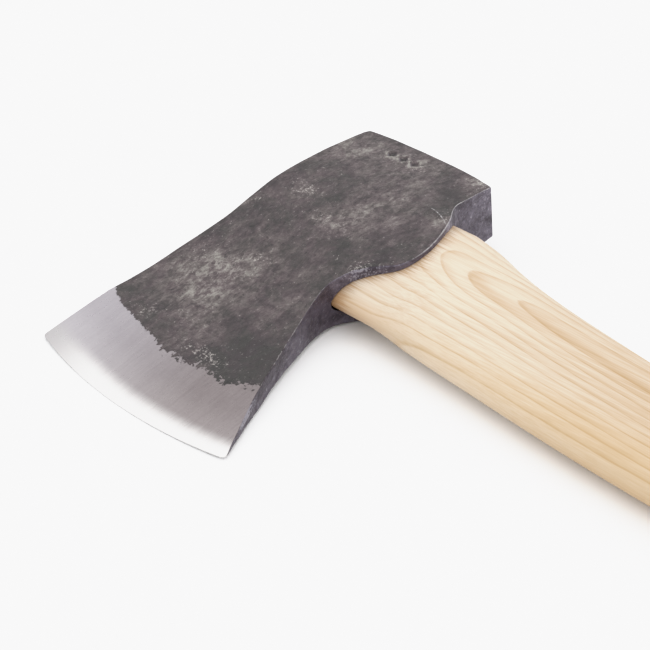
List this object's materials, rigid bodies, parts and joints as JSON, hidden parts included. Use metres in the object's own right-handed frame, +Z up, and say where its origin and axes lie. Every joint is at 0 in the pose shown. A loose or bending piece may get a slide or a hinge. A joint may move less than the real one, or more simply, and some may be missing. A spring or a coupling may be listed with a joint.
{
  "type": "hatchet",
  "caption": "Forged hatchet with a flared blade, square hammer poll and cheek lugs, on a curved ash handle wedged into a tapered eye.",
  "frame": {"origin": "middle of the overall length and depth, on the table that the hatchet lies on", "axes": "+X along the handle from the head to the knob, +Y from the cutting edge to the poll, +Z up. It lies as it rests, on one cheek, the blade and the handle's belly, so its middle plane leans 6.84 degrees down towards the cutting edge and rises 0.29 degrees towards the knob"},
  "size_m": [0.3854, 0.142, 0.0264],
  "materials": {
    "forged_steel": "dark forge scale on the cheeks, satin ground bevel and bright honed edge",
    "ash": "pale straight-grained ash, sanded and lightly oiled, matte",
    "wedge_wood": "sawn hardwood, matte end grain",
    "wedge_steel": "dull mild steel"
  },
  "bodies": {
    "root": {"axe_head": "forged_steel", "handle": "ash", "wood_wedge": "wedge_wood", "ring_wedge": "wedge_steel"}
  },
  "joints": []
}
